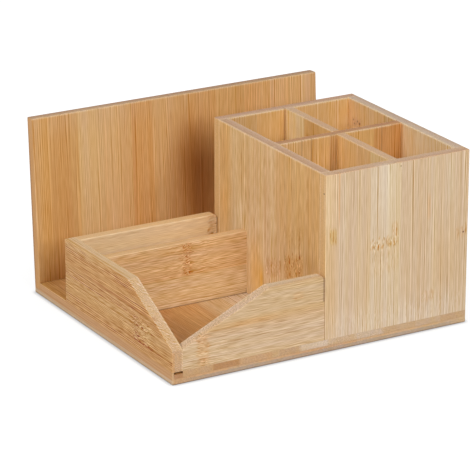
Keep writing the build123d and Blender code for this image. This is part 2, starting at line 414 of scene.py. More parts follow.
# %% [markdown]
# ## From levels to colour
# Each pattern is one number, above zero for pith and below it for fibre. A ramp from a pith
# colour to a fibre colour could turn it into a shade, but every strip would need ramps of its
# own. Here each colour channel of the strip's own shade follows the number with its own
# strength. Bundles are mostly darker than the pith. The broad changes are changes of colour as
# well, from straw to brown, so they take far more out of the blue than out of the red. Boards
# differ in how warm their fibres are, so part of the bundles' pull comes through a warmth that
# each board sets.

# %% Turn the levels into colour
BUNDLE_PULL = (0.82, 1.18, 1.75)
BROAD_PULL = (0.62, 1.38, 2.4)
TINT_PULL = (-0.15, 0.0, 1.0)
DASH_PULL = (0.5, 1.15, 2.0)
WARM_PULL = (-0.1, 0.1, 0.9)

warm = add(fibres, "Math", {0: bundle, 1: taken["Warmth"]}, operation="MULTIPLY")
change = (0.0, 0.0, 0.0)
for level, pull in ((bundle, BUNDLE_PULL), (broad, BROAD_PULL), (tint, TINT_PULL),
                    (dash, DASH_PULL), (warm, WARM_PULL)):
    channels = add(fibres, "VectorMath", {0: pull, "Scale": level}, operation="SCALE")
    change = add(fibres, "VectorMath", {0: channels, 1: change}, operation="ADD")
toned = add(fibres, "VectorMath", {0: taken["Tone"], 1: change, 2: taken["Tone"]},
            operation="MULTIPLY_ADD")
fibres.links.new(toned, given["Tone"])
fibres.links.new(height, given["Height"])
print("fibre group:", len(fibres.nodes), "nodes")

# %% [markdown]
# ## Where a mark lies
# Knuckles, stains and glue lines are all marks. They could be painted on, but a block with soft
# sides is enough for each, and it needs only a place and a size. This group says how near a
# point is to the middle of such a block, from 0 to 1. A knuckle often climbs as it crosses a
# strip, so the block can lean. The edge says where the share starts to fall: near 1 the block is
# crisp, and at 0 it fades all the way from its middle. Along the grain it fades twice as softly.

# %% Build the mark group
THROUGH_EDGE = 0.8
ALONG_EDGE = 0.5

mark_share, taken, given = new_group(
    "share of a mark",
    [("Place", "Vector"), ("Middle", "Vector"), ("Half size", "Vector"), ("Lean", "Float"),
     ("Edge", "Float")],
    [("Share", "Float")])
gap = add(mark_share, "VectorMath", {0: taken["Place"], 1: taken["Middle"]},
          operation="SUBTRACT")
sides = add(mark_share, "SeparateXYZ", {0: gap}, output=None).outputs
climb = add(mark_share, "Math", {0: sides["X"], 1: taken["Lean"]}, operation="MULTIPLY")
climbed = add(mark_share, "Math", {0: sides["Z"], 1: climb}, operation="SUBTRACT")
gap = add(mark_share, "CombineXYZ", {0: sides["X"], 1: sides["Y"], 2: climbed})
gap = add(mark_share, "VectorMath", {0: gap, 1: taken["Half size"]}, operation="DIVIDE")
gap = add(mark_share, "VectorMath", {0: gap}, operation="ABSOLUTE")
sides = add(mark_share, "SeparateXYZ", {0: gap}, output=None).outputs
along_edge = add(mark_share, "Math", {0: taken["Edge"], 1: ALONG_EDGE}, operation="MULTIPLY")
share = 1.0
for side, edge in (("X", taken["Edge"]), ("Y", THROUGH_EDGE), ("Z", along_edge)):
    near = add(mark_share, "MapRange", {"Value": sides[side], "From Min": 1.0,
                                        "From Max": edge}, interpolation_type="SMOOTHSTEP")
    share = add(mark_share, "Math", {0: near, 1: share}, operation="MULTIPLY")
mark_share.links.new(share, given["Share"])
print("mark group:", len(mark_share.nodes), "nodes")

# %% [markdown]
# ## One board's bamboo
# Every board gets its own material, because no two have the same strips. It is built up in
# layers, as the next cells show, and all the layers work from the same few facts about a point:
# its place, told as across, through and along, and how squarely the surface there faces each
# way. A cut end faces along the grain. An edge faces across the strips. Both are calmer than a
# face, with weaker bundles, because there the strips are seen side on or end on.

# %% Read a board
AXES = {"X": 0, "Y": 1, "Z": 2}
END_FROM = 0.12
END_TO = 0.75
EDGE_FROM = 0.75
EDGE_TO = 0.9
EDGE_CALM = 0.8


def read_board(node, grain, across, lean):
    """Start a board's material. Gives back its tree, its box and its places, all in mm."""
    material = bpy.data.materials.new("varnished bamboo, " + node.replace("_", " "))
    tree = new_tree(material)
    through = ({"X", "Y", "Z"} - {grain, across}).pop()
    spot = add(tree, "TexCoord", output=None).outputs
    scaled = add(tree, "VectorMath", {0: spot["Object"], "Scale": MM}, operation="SCALE")
    sides = add(tree, "SeparateXYZ", {0: scaled}, output=None).outputs
    depth = sides[through]
    if lean:
        depth = add(tree, "Math", {0: sides[grain], 1: -math.tan(math.radians(lean)),
                                   2: depth}, operation="MULTIPLY_ADD")
    place = add(tree, "CombineXYZ", {0: sides[across], 1: depth, 2: sides[grain]})

    facing = add(tree, "VectorMath", {0: spot["Normal"]}, operation="ABSOLUTE")
    facing = add(tree, "SeparateXYZ", {0: facing}, output=None).outputs
    ends = add(tree, "MapRange", {"Value": facing[grain], "From Min": END_FROM,
                                  "From Max": END_TO}, interpolation_type="SMOOTHSTEP")
    edges = add(tree, "MapRange", {"Value": facing[across], "From Min": EDGE_FROM,
                                   "From Max": EDGE_TO})
    calm = add(tree, "Math", {0: edges, 1: EDGE_CALM}, operation="MULTIPLY")
    calm = add(tree, "Math", {0: calm, 1: ends}, operation="MAXIMUM")
    return SimpleNamespace(material=material, tree=tree, across=across, through=through,
                           box=[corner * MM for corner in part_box(node)], sides=sides,
                           place=place, facing=facing, ends=ends, edges=edges, calm=calm)


def shade_towards(tree, tone, shade, share, strength=1.0):
    """Shade a tone towards another, as far as a share and a strength say."""
    cover = add(tree, "Math", {0: share, 1: strength}, operation="MULTIPLY")
    return add(tree, "Mix", {0: cover, 6: tone, 7: shade_of(shade)}, output=2,
               data_type="RGBA")


print("a surface starts to be a cut end", round(math.degrees(math.asin(END_FROM))),
      "degrees off the grain")

# %% [markdown]
# ## The strips
# A ColorRamp with constant steps lays the strips side by side. A chain of comparisons would do
# as well, but the ramp holds all of a board's strips in one node. The alpha of each step is a
# seed that shifts the fibres, so that they stop at the glue line as real ones do. The base board
# is glued up from two layers, so below a height it has other strips.

# %% Lay the strips
SEEDS = (0.13, 0.71, 0.37, 0.89, 0.05, 0.58, 0.26, 0.94, 0.43, 0.66, 0.19, 0.81)
LOWER_SEED_STEP = 5


def strip_ramp(board, strips, first_seed):
    """Strips side by side: pairs of the place where one begins and its shade."""
    low, high = (corner[AXES[board.across]] for corner in board.box)
    share = add(board.tree, "MapRange", {"Value": board.sides[board.across], "From Min": low,
                                         "From Max": high})
    ramp = add(board.tree, "ValToRGB", {"Fac": share}, output=None)
    ramp.color_ramp.interpolation = "CONSTANT"
    steps = ramp.color_ramp.elements
    while len(steps) < len(strips):
        steps.new(1.0)
    for number, (start, shade) in enumerate(strips):
        steps[number].position = max(0.0, (start - low) / (high - low))
        seed = SEEDS[(first_seed + number) % len(SEEDS)]
        steps[number].color = (*shade_of(shade)[:3], seed)
    return ramp.outputs["Color"], ramp.outputs["Alpha"]


def lay_strips(board, strips, under, first_seed):
    """Gives back the tone and the seed of the strip that a point lies in."""
    tone, seed = strip_ramp(board, strips, first_seed)
    if under:
        height, lower_strips = under
        lower_tone, lower_seed = strip_ramp(board, lower_strips, first_seed + LOWER_SEED_STEP)
        upper = add(board.tree, "Math", {0: board.sides["Z"], 1: height},
                    operation="GREATER_THAN")
        tone = add(board.tree, "Mix", {0: upper, 6: lower_tone, 7: tone}, output=2,
                   data_type="RGBA")
        seed = add(board.tree, "Mix", {0: upper, 2: lower_seed, 3: seed}, data_type="FLOAT")
    return tone, seed


print(len(SEEDS), "seeds for the strips")

# %% [markdown]
# ## Cut ends, edges and painted arris highlights
# End grain and edges lean to shades of their own. The arrises are painted paler, a painted
# highlight for the light that their eased edges catch. A Bevel node could find them, but it is
# slow, and the normal is enough: on an arris it points along none of the board's three
# directions. A sloped wall's top doesn't either, so there the limits are lower. The painted
# highlight also takes a millimetre of the face and of the top to each side of a top arris, and
# that is found from the place.

# %% Shade the cuts and paint the arris highlights
FLAT_ARRIS = (0.97, 0.82)  # the normal's largest part, where an arris starts and at its middle
SLOPED_ARRIS = (0.86, 0.76)
HIGHLIGHT_FROM = 1.2
HIGHLIGHT_TO = 0.5
OFF_FACE_FROM = 0.6
OFF_FACE_TO = 0.4


def shade_cuts(board, tone, end, end_share, edge):
    """Shade the cut ends, and the edges if they have a shade of their own."""
    if edge:
        tone = shade_towards(board.tree, tone, edge, board.edges)
    return shade_towards(board.tree, tone, end, board.ends, end_share)


def top_arris_highlight_share(board, strengths):
    """How far the painted highlight pales a place beside a top arris, on each side."""
    tree = board.tree
    low, high = (corner[AXES[board.through]] for corner in board.box)
    top = board.box[1].z
    near_side = 0.0
    for strength, face, inwards in zip(strengths, (low, high), (1, -1)):
        near = add(tree, "MapRange", {"Value": board.sides[board.through], "To Max": strength,
                                      "From Min": face + inwards * HIGHLIGHT_FROM,
                                      "From Max": face + inwards * HIGHLIGHT_TO})
        near_side = add(tree, "Math", {0: near, 1: near_side}, operation="MAXIMUM")
    near_top = add(tree, "MapRange", {"Value": board.sides["Z"], "From Min": top - HIGHLIGHT_FROM,
                                      "From Max": top - HIGHLIGHT_TO})
    off_face = add(tree, "MapRange", {"Value": board.facing[board.through],
                                      "From Min": OFF_FACE_FROM, "From Max": OFF_FACE_TO})
    near_arris = add(tree, "Math", {0: near_top, 1: off_face}, operation="MAXIMUM")
    return add(tree, "Math", {0: near_side, 1: near_arris}, operation="MULTIPLY")


def paint_arris_highlights(board, tone, arris_highlight, sloped, top_arris_highlight):
    """Paint a highlight on the arrises, and on the wood beside the top ones."""
    tree = board.tree
    flattest, roundest = SLOPED_ARRIS if sloped else FLAT_ARRIS
    widest = add(tree, "Math", {0: board.facing["X"], 1: board.facing["Y"]},
                 operation="MAXIMUM")
    widest = add(tree, "Math", {0: widest, 1: board.facing["Z"]}, operation="MAXIMUM")
    arris = add(tree, "MapRange", {"Value": widest, "From Min": flattest,
                                   "From Max": roundest})
    tone = shade_towards(tree, tone, "cream", arris, arris_highlight)
    if any(top_arris_highlight):
        tone = shade_towards(tree, tone, "cream", top_arris_highlight_share(board, top_arris_highlight))
    return tone


# how far the painted highlight reaches beside a top arris
print("the sanding block rubs", HIGHLIGHT_FROM, "mm")

# %% [markdown]
# ## The kinds of mark
# A stain is soft: a place where the cane was darker, redder or paler, and a few soft places are
# painted light and painted shade instead. A streak is crisp: a glue line, a dark bundle or a worn
# edge, and a few streaks are painted shade and painted highlights. A knuckle is a streak whose
# bundles fray, and around it there is often a wider place where they fray only a little and the
# shade stays. A pore is a small brown hole. Marks could be written as bare rows of numbers, but a
# function for each kind says what its numbers are.

# %% Name the kinds of mark
def stain_and_painted_light(middle, half, shade, strength):
    """A soft place with another shade, for stains and painted light. The half size is across,
    through and along.
    """
    return SimpleNamespace(middle=middle, half=half, shade=shade, strength=strength)


def streak(middle, half, shade, strength):
    """A crisp place with another shade."""
    return knuckle(middle, half, shade, strength, fray=0.0)


def knuckle(middle, half, shade, strength, fray, lean=0.0):
    """A streak whose bundles fray, and which climbs by its lean as it crosses a strip."""
    return SimpleNamespace(middle=middle, half=half, shade=shade, strength=strength, fray=fray,
                           lean=lean)


def fraying(middle, half, fray, lean=0.0):
    """A place where the bundles fray and the shade stays."""
    return knuckle(middle, half, None, 0.0, fray, lean)


def pore(centre, radius, depth):
    """A small brown hole, and how dark it is."""
    return SimpleNamespace(centre=centre, radius=radius, depth=depth)


print("kinds of mark: stain, streak, knuckle, fraying and pore")

# %% [markdown]
# ## Stains, painted light and marks on a board
# Each mark takes one copy of the mark group. A knuckle's outline is jagged along the grain,
# because each bundle swerves at its own height, so its place is shaken before it is looked up.
# Thin dark and pale lines run along some of the boards' tops, and those are streaks as well. On
# the back panel they are a painted highlight on the front arris and painted shade towards the
# rear.

# %% Lay the stains, the painted light and the marks
CRISP = 0.8
SOFT = 0.0
JAG_SIZE = (1.6, 1.6, 80.0)
JAG_REACH = 7.0
TOP_LINE_HALF = (200.0, 0.9, 1.2)


def lay_stains_and_painted_light(board, tone, stains_and_painted_light):
    """Shade the soft places."""
    for soft in stains_and_painted_light:
        share = add(board.tree, "Group", {"Place": board.place, "Middle": soft.middle,
                                          "Half size": soft.half, "Edge": SOFT},
                    node_tree=mark_share)
        tone = shade_towards(board.tree, tone, soft.shade, share, soft.strength)
    return tone


def lay_marks(board, tone, marks):
    """Shade the crisp places. Gives back the tone, and how far each place is frayed."""
    tree = board.tree
    jagged = board.place
    if any(mark.fray for mark in marks):
        jag = noise_about_zero(tree, board.place, JAG_SIZE, JAG_REACH, detail=1.0)
        jag = add(tree, "CombineXYZ", {2: jag})
        jagged = add(tree, "VectorMath", {0: board.place, 1: jag}, operation="ADD")
    frayed = 0.0
    for mark in marks:
        share = add(tree, "Group", {"Place": jagged if mark.fray else board.place,
                                    "Middle": mark.middle, "Half size": mark.half,
                                    "Lean": mark.lean, "Edge": CRISP}, node_tree=mark_share)
        if mark.strength:
            tone = shade_towards(tree, tone, mark.shade, share, mark.strength)
        if mark.fray:
            frayed = add(tree, "Math", {0: share, 1: mark.fray, 2: frayed},
                         operation="MULTIPLY_ADD")
    return tone, frayed


def top_streaks(board, top_lines):
    """Streaks along the top: each line's place through the board, shade and strength."""
    top = board.box[1].z
    return [streak((0.0, level, top), TOP_LINE_HALF, shade, strength)
            for level, shade, strength in top_lines]


print("a knuckle's outline strays by", JAG_REACH / 2, "mm at most")

# %% [markdown]
# ## The fibres in a board
# The fibre group is laid over the strips and the marks. Where a knuckle frays the board, the
# place is bent first, so that the bundles swerve. They could be bent by moving the mesh, but a
# knuckle is flush with its board. On the back panel the bundles are bolder from one strip on.

# %% Grow the fibres
BEND_SIZE = (2.2, 2.2, 5.0)
BEND_REACH = 2.4
CALM_CONTRAST = 0.3
CALM_FLECKS = 0.1
BOLDER_WIDTH = 1.0


def swerve(board, frayed):
    """A board's places, bent where it is frayed."""
    bend = noise_about_zero(board.tree, board.place, BEND_SIZE, frayed, detail=1.0)
    bend = add(board.tree, "Math", {0: bend, 1: BEND_REACH}, operation="MULTIPLY")
    sideways = add(board.tree, "CombineXYZ", {0: bend, 1: bend})
    return add(board.tree, "VectorMath", {0: board.place, 1: sideways}, operation="ADD")


def grow_fibres(board, tone, seed, frayed, contrast, flecks, warmth, bolder):
    """Lay the fibres over a tone. Gives back the new tone and the height of the bundles."""
    tree = board.tree
    strong = add(tree, "MapRange", {"Value": board.calm, "To Min": contrast,
                                    "To Max": contrast * CALM_CONTRAST})
    if bolder:
        start, factor = bolder
        more = add(tree, "MapRange", {"Value": board.sides[board.across], "From Min": start,
                                      "From Max": start + BOLDER_WIDTH, "To Min": 1.0,
                                      "To Max": factor})
        strong = add(tree, "Math", {0: strong, 1: more}, operation="MULTIPLY")
    many = add(tree, "MapRange", {"Value": board.calm, "To Min": flecks,
                                  "To Max": flecks * CALM_FLECKS})
    places = swerve(board, frayed) if frayed else board.place
    grown = add(tree, "Group", {"Place": places, "Seed": seed, "Tone": tone, "Fray": frayed,
                                "Contrast": strong, "Flecks": many, "Warmth": warmth},
                output=None, node_tree=fibres)
    return grown.outputs["Tone"], grown.outputs["Height"]


print("in a knuckle the bundles swerve by", BEND_REACH / 2, "mm at most")

# %% [markdown]
# ## Pores, joints and end grain
# A few boards have small brown pores, and each is a round spot that is darkest in its middle.
# Where a tray board or the base meets another board, a dark line is painted in the corner: it is
# painted shade, and it stands for the glue joint too. It could be drawn mark by mark, but an
# Ambient Occlusion node that reaches one millimetre finds it wherever two boards meet. On a cut
# end each bundle is a dot. Real dots are about 0.4 mm; these are 0.8 mm, as coarse as they need
# to be to show.

# %% Draw the pores, the joints and the end grain
PORE_CORE = 0.5
JOINT_REACH = 0.001
JOINT_FROM = 0.95
JOINT_TO = 0.5
JOINT_FADE = 2.0
STIPPLE_SIZE = (0.8, 0.8, 0.8)
STIPPLE_PULL = (1.6, 1.75, 2.1)
STIPPLE_ON_EDGE = 0.4


def open_pores(board, tone, pores):
    """Darken a small round spot for each pore."""
    for hole in pores:
        gap = add(board.tree, "VectorMath", {0: board.place, 1: hole.centre}, output="Value",
                  operation="DISTANCE")
        share = add(board.tree, "MapRange", {"Value": gap, "From Min": hole.radius,
                                             "From Max": hole.radius * PORE_CORE},
                    interpolation_type="SMOOTHSTEP")
        tone = shade_towards(board.tree, tone, "umber", share, hole.depth)
    return tone


def paint_joint_shade(board, tone, joint_shade, joint_top):
    """Paint shade where the board meets another, up to a height if one is given."""
    tree = board.tree
    # painted shade: the corner where two boards meet, found by occlusion, standing for the glue
    # line too
    open_air = add(tree, "AmbientOcclusion", {"Distance": JOINT_REACH}, output="AO", samples=8)
    shut = add(tree, "MapRange", {"Value": open_air, "From Min": JOINT_FROM,
                                  "From Max": JOINT_TO})
    if joint_top:
        low_down = add(tree, "MapRange", {"Value": board.sides["Z"], "From Min": joint_top,
                                          "From Max": joint_top - JOINT_FADE})
        shut = add(tree, "Math", {0: shut, 1: low_down}, operation="MULTIPLY")
    return shade_towards(tree, tone, "umber", shut, joint_shade)


def stipple_cuts(board, tone, stipple):
    """Dot the cut ends, and the edges a little."""
    tree = board.tree
    cut = add(tree, "Math", {0: board.edges, 1: STIPPLE_ON_EDGE, 2: board.ends},
              operation="MULTIPLY_ADD")
    cut = add(tree, "Math", {0: cut, 1: stipple}, operation="MULTIPLY")
    dots = noise_about_zero(tree, board.place, STIPPLE_SIZE, cut, detail=1.0)
    change = add(tree, "VectorMath", {0: STIPPLE_PULL, "Scale": dots}, operation="SCALE")
    return add(tree, "VectorMath", {0: tone, 1: change, 2: tone}, operation="MULTIPLY_ADD")


print("dots of", STIPPLE_SIZE[0], "mm on the cut ends")

# %% [markdown]
# ## The varnish
# The finish is a thin satin varnish that has sunk in. It could be a coat over the wood, but that
# looks like a thick glossy film. Here it is the surface itself: its specular level is under the
# usual 0.5, and its roughness is about a half, which gives the eye a soft sheen and no clear
# reflections. The open vessels of the bundles drink more of it than the pith does, so the
# bundles are a little rougher, and a trace lower, than the pith between them.

# %% Varnish a board
BUNDLE_DEPTH = 0.1
PITH_ROUGHNESS = 0.46
BUNDLE_ROUGHNESS = 0.56
RELIEF_STRENGTH = 0.15
RELIEF_DEPTH = 0.0003
VARNISH_IOR = 1.5
VARNISH_SPECULAR = 0.3


def varnish(board, tone, height):
    """Finish a board's material with its shader."""
    tree = board.tree
    rough = add(tree, "MapRange", {"Value": height, "From Min": -BUNDLE_DEPTH,
                                   "From Max": BUNDLE_DEPTH, "To Min": BUNDLE_ROUGHNESS,
                                   "To Max": PITH_ROUGHNESS})
    relief = add(tree, "Bump", {"Height": height, "Strength": RELIEF_STRENGTH,
                                "Distance": RELIEF_DEPTH})
    shader = add(tree, "BsdfPrincipled", {"Base Color": tone, "Roughness": rough,
                                          "Normal": relief, "IOR": VARNISH_IOR,
                                          "Specular IOR Level": VARNISH_SPECULAR})
    add(tree, "OutputMaterial", {"Surface": shader}, output=None)


print("roughness", PITH_ROUGHNESS, "on the pith and", BUNDLE_ROUGHNESS, "on the bundles")

# %% [markdown]
# ## The whole board
# The last function puts the layers together in the order in which they lie on each other: the
# strips, the cuts, the arrises' painted highlight, the stains, painted light and marks, the
# fibres, the pores, the painted shade at the joints, the dots of the end grain, and the varnish.
# The rest of the lesson only calls it.

# %% Put the layers together
def bamboo(node, grain, across, strips, end, *, edge=None, end_share=0.85, under=None,
           first_seed=0, contrast=1.0, flecks=0.3, warmth=1.0, bolder=None, stipple=0.5,
           arris_highlight=0.2, sloped=False, top_arris_highlight=(0.0, 0.0), top_lines=(), joint_shade=0.0,
           joint_top=None, lean=0.0, stains_and_painted_light=(), marks=(), pores=()):
    """Give a board its bamboo. Places and sizes are in mm: across, through and along.

    grain, across: the axes along the bundles and across the strips.
    strips: where each strip begins, and its shade. under: a height, and the strips below it.
    end, edge: the shades of the cut ends and of the edges. end_share: how far the ends take it.
    first_seed: the number of the first strip's seed.
    contrast, flecks, warmth: how strong the bundles are, how many flecks, and how warm.
    bolder: where the bundles grow bolder, and by what factor.
    stipple, arris_highlight: how strong the end grain's dots are, and how pale the arrises'
    painted highlight is.
    sloped: whether the top slopes. top_arris_highlight: how pale the painted highlight beside a
    top arris is, on each side.
    joint_shade, joint_top: how dark the painted shade at the joints is, and the height up to
    which it shows.
    top_lines: lines along the top, each with its place through the board, shade and strength.
    lean: how far the board leans back, in degrees.
    stains_and_painted_light, marks, pores: what the functions for the kinds of mark give.
    """
    board = read_board(node, grain, across, lean)
    tone, seed = lay_strips(board, strips, under, first_seed)
    tone = shade_cuts(board, tone, end, end_share, edge)
    tone = paint_arris_highlights(board, tone, arris_highlight, sloped, top_arris_highlight)
    tone = lay_stains_and_painted_light(board, tone, stains_and_painted_light)
    tone, frayed = lay_marks(board, tone, [*marks, *top_streaks(board, top_lines)])
    tone, height = grow_fibres(board, tone, seed, frayed, contrast, flecks, warmth, bolder)
    tone = open_pores(board, tone, pores)
    if joint_shade:
        tone = paint_joint_shade(board, tone, joint_shade, joint_top)
    tone = stipple_cuts(board, tone, stipple)
    varnish(board, tone, height)
    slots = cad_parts[node].data.materials
    slots.clear()
    slots.append(board.material)
    print(f"{node}: {len(strips)} strips, {len(marks)} marks, {len(board.tree.nodes)} nodes")


# %% [markdown]
# ## The faces that show
# The marks are placed on the faces that show. Their planes could be typed in, but the boards
# know them, so they are read from the boards' boxes. A mark reaches a few millimetres into the
# wood and doesn't come out on the other side. The back panel leans, and so do its places: its
# front is told by where the plane would meet the floor.

# %% Read the planes of the faces
PANEL_LEAN = 3.0
LOW = 0
HIGH = 1


def face(node, side, axis):
    """Where a board's face on the low or high side of an axis lies, in mm."""
    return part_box(node)[side][AXES[axis]] * MM


FRONT = face("tray_front_wall", LOW, "Y")
LEFT = face("tray_left_wall", LOW, "X")
PEN_LEFT = face("pen_box_left_wall", LOW, "X")
PEN_REAR_INSIDE = face("pen_box_rear_wall", LOW, "Y")
PEN_RIGHT_INSIDE = face("pen_box_right_wall", LOW, "X")
CROSS_FRONT = face("pen_box_cross_divider", LOW, "Y")
LONG_LEFT = face("pen_box_long_divider", LOW, "X")
TRAY_DIVIDER_FRONT = face("tray_divider", LOW, "Y")
TRAY_REAR_FRONT = face("tray_rear_wall", LOW, "Y")
BASE_TOP = face("base_board", HIGH, "Z")
PANEL_FOOT = face("back_panel", LOW, "Z")
PANEL_FRONT = face("back_panel", LOW, "Y") - PANEL_FOOT * math.tan(math.radians(PANEL_LEAN))
print("front", round(FRONT, 1), "left", round(LEFT, 1), "base top", round(BASE_TOP, 1),
      "panel", round(PANEL_FRONT, 1))

# %% [markdown]
# ## The pen box's front wall
# The pen box's boards stand on end: the grain runs up. The front wall is the palest board of
# all. Its middle strip has the knuckle that catches the eye first, half way up, and there are
# smaller ones at its left and right edges and low on the right. The foot frays a little all
# along.

# %% Finish the pen box's front wall
bamboo("pen_box_front_wall", "Z", "X",
       [(PEN_LEFT, "linen"), (10.3, "oat"), (31.5, "ivory"), (54.1, "oat"), (75.7, "oat"),
        (97.3, "oat")],
       end="clay", edge="honey", contrast=0.8, warmth=0.0, top_arris_highlight=(0.0, 0.5),
       top_lines=[(-91.4, "bark", 0.15), (-88.4, "cream", 0.15)],
       stains_and_painted_light=[stain_and_painted_light((86.5, FRONT, 45.0), (16.0, 3.0, 35.0), "#D1B087", 0.9),
               stain_and_painted_light((42.8, FRONT, 105.0), (12.0, 3.0, 50.0), "#E3D2B8", 0.5),
               stain_and_painted_light((52.0, FRONT, 8.0), (100.0, 3.0, 24.0), "#D9C4AA", 0.8),
               stain_and_painted_light((4.0, FRONT, 95.0), (5.5, 3.0, 35.0), "#EAD2B4", 0.5)],
       marks=[knuckle((42.8, FRONT, 62.5), (10.8, 3.0, 4.6), "straw", 0.3, 0.9, lean=0.05),
              knuckle((42.8, FRONT, 52.0), (11.2, 3.0, 13.0), "straw", 0.2, 0.25, lean=0.1),
              knuckle((6.5, FRONT, 73.0), (2.8, 3.0, 6.5), "mustard", 0.5, 0.6),
              knuckle((75.0, FRONT, 23.5), (5.0, 3.0, 4.5), "amber", 0.12, 0.4),
              knuckle((98.5, FRONT, 60.0), (4.5, 3.0, 5.5), "amber", 0.1, 0.4, lean=0.2),
              fraying((52.0, FRONT, 14.0), (55.0, 3.0, 12.0), 0.2),
              knuckle((50.5, FRONT, 70.0), (2.4, 3.0, 6.0), "amber", 0.2, 0.6),
              streak((74.6, FRONT, 80.0), (1.2, 3.0, 11.0), "amber", 0.3),
              streak((10.6, FRONT, 100.0), (0.5, 3.0, 30.0), "amber", 0.6),
              streak((32.0, FRONT, 70.0), (0.5, 3.0, 60.0), "biscuit", 0.7),
              streak((90.0, FRONT, 95.0), (2.2, 3.0, 18.0), "ivory", 0.7)],
       pores=[pore((53.7, FRONT, 109.5), 0.5, 0.8), pore((99.9, FRONT, 59.6), 0.8, 0.9),
              pore((PEN_LEFT, -90.5, 100.0), 0.7, 0.9)])

# %% [markdown]
# ## The pen box's left wall
# This is the board with the most life in it. A broad knuckle climbs across its front strips, low
# down beside the tray. Farther back, an orange stain shows where the cane's skin wasn't planed
# off. Higher up, pale and reddish stains change the strips along their length. The whole wall is
# painted paler towards its foot, as painted light for the light that bounces about beside the
# tray.

# %% Finish the pen box's left wall
bamboo("pen_box_left_wall", "Z", "Y",
       [(FRONT, "#D7A96F"), (-68.3, "#D8AB70"), (-44.5, "#DAAD75"), (-35.5, "#DEB786"),
        (-21.1, "wheat"), (-0.5, "#DCB682"), (20.2, "#DBB075")],
       end="#C3997A", edge="honey", first_seed=3, contrast=1.1, flecks=0.6, warmth=0.5,
       top_arris_highlight=(0.35, 0.4), top_lines=[(2.9, "bark", 0.25), (6.8, "cream", 0.15)],
       # painted light: the whole wall paler towards its foot, for light bouncing beside the tray
       stains_and_painted_light=[stain_and_painted_light((-26.0, PEN_LEFT, 30.0), (110.0, 3.0, 55.0), "cream", 0.35),
               stain_and_painted_light((-10.5, PEN_LEFT, 25.0), (13.0, 3.0, 33.0), "#E6B970", 0.8),
               stain_and_painted_light((-17.6, PEN_LEFT, 23.0), (4.5, 3.0, 15.0), "#DFA646", 0.9),
               stain_and_painted_light((-49.0, PEN_LEFT, 62.0), (9.0, 3.0, 24.0), "#E8BE85", 0.35),
               stain_and_painted_light((-32.0, PEN_LEFT, 62.0), (6.0, 3.0, 26.0), "cream", 0.35),
               stain_and_painted_light((-12.0, PEN_LEFT, 62.0), (6.0, 3.0, 26.0), "cream", 0.45),
               stain_and_painted_light((-1.5, PEN_LEFT, 85.0), (4.0, 3.0, 45.0), "ochre", 0.35),
               stain_and_painted_light((8.0, PEN_LEFT, 58.0), (10.0, 3.0, 26.0), "cream", 0.55),
               stain_and_painted_light((28.0, PEN_LEFT, 58.0), (9.0, 3.0, 28.0), "#E8AC5C", 0.45),
               stain_and_painted_light((28.0, PEN_LEFT, 94.0), (11.0, 3.0, 26.0), "amber", 0.35)],
       marks=[knuckle((-56.0, PEN_LEFT, 42.0), (12.0, 3.0, 11.0), "marigold", 0.42, 1.1,
                      lean=-0.25),
              knuckle((-32.5, PEN_LEFT, 35.0), (10.5, 3.0, 8.0), "peach", 0.3, 0.7,
                      lean=-0.2),
              fraying((-56.0, PEN_LEFT, 58.0), (12.0, 3.0, 16.0), 0.3, lean=-0.25),
              streak((-22.0, PEN_LEFT, 70.0), (0.6, 3.0, 30.0), "caramel", 0.6),
              streak((-29.5, PEN_LEFT, 80.0), (1.6, 3.0, 60.0), "cream", 0.4)])

# %% [markdown]
# ## The pen box's rear and right walls
# Of these only the inside shows from the front, deep in the cells. Their strips, and the long
# divider's, are paler and warmer than the boards outside: partly their own colour, and partly
# painted light for the light that reaches deep into the cells and bounces from board to board.
# The rear wall has one dark line at its glue joint with the long divider, painted shade in that
# corner, and the right wall has a small knuckle with a cluster of pores in it.

# %% Finish the pen box's rear and right walls
bamboo("pen_box_rear_wall", "Z", "X",
       # partly painted light: the strips inside the cells are paler and warmer
       [(PEN_LEFT, "honey"), (28.0, "gold"), (50.0, "#E6B97D"), (72.0, "#E6B97D")],
       end="#C2967A", edge="honey", first_seed=5, contrast=0.65, warmth=1.7,
       top_arris_highlight=(0.6, 0.0), top_lines=[(35.8, "cream", 0.2), (40.2, "bark", 0.25)],
       # painted shade in the corner where the long divider meets the rear wall
       marks=[streak((48.7, PEN_REAR_INSIDE, 80.0), (0.8, 3.0, 60.0), "bark", 0.7)])
bamboo("pen_box_right_wall", "Z", "Y",
       # partly painted light: the front strips, deep in the cells, are the palest
       [(FRONT, "#EDCB9A"), (-66.0, "#EDCB9A"), (-30.0, "honey"), (-8.0, "corn"),
        (16.0, "corn")],
       end="mushroom", edge="honey", first_seed=7, contrast=0.8, warmth=1.3,
       top_arris_highlight=(0.5, 0.0), top_lines=[(97.6, "cream", 0.15), (101.4, "bark", 0.25)],
       marks=[knuckle((24.5, PEN_RIGHT_INSIDE, 98.0), (6.0, 3.0, 4.0), "peach", 0.5, 0.5)],
       pores=[pore((28.1, PEN_RIGHT_INSIDE, 99.0), 0.9, 0.45),
              pore((26.8, PEN_RIGHT_INSIDE, 96.7), 0.9, 0.45),
              pore((23.4, PEN_RIGHT_INSIDE, 98.9), 0.9, 0.6),
              pore((20.9, PEN_RIGHT_INSIDE, 98.0), 1.1, 0.7)])

# %% [markdown]
# ## The pen box's dividers
# The cross divider shows its glue lines as dark streaks. The wide one, just left of the long
# divider, and the browner right end, beside the right wall, are painted shade in the corners. The
# long divider has one knuckle near its top.

